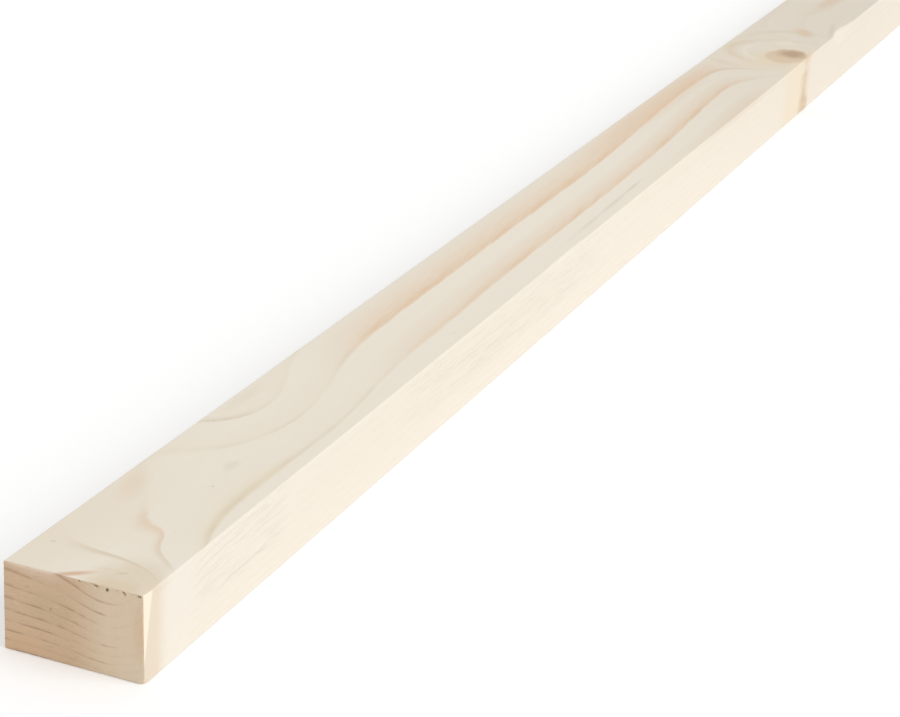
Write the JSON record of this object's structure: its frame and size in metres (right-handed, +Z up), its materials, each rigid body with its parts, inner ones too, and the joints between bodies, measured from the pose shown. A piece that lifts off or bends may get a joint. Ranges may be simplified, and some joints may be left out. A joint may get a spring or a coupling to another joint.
{
  "type": "planed timber plank",
  "caption": "Straight planed softwood plank of rectangular section, with lightly eased long edges and square sawn ends, stock for framing, battening and joinery.",
  "frame": {"origin": "middle of the underside: half way along the length and across the width, on the floor plane", "axes": "+X along the length, with the end nearest the viewer of the picture at -X; +Y across the width; +Z up through the thickness"},
  "size_m": [2.4, 0.044, 0.027],
  "materials": {
    "planed_softwood": "bare planed softwood, matte"
  },
  "bodies": {
    "root": {"plank": "planed_softwood"}
  },
  "joints": []
}
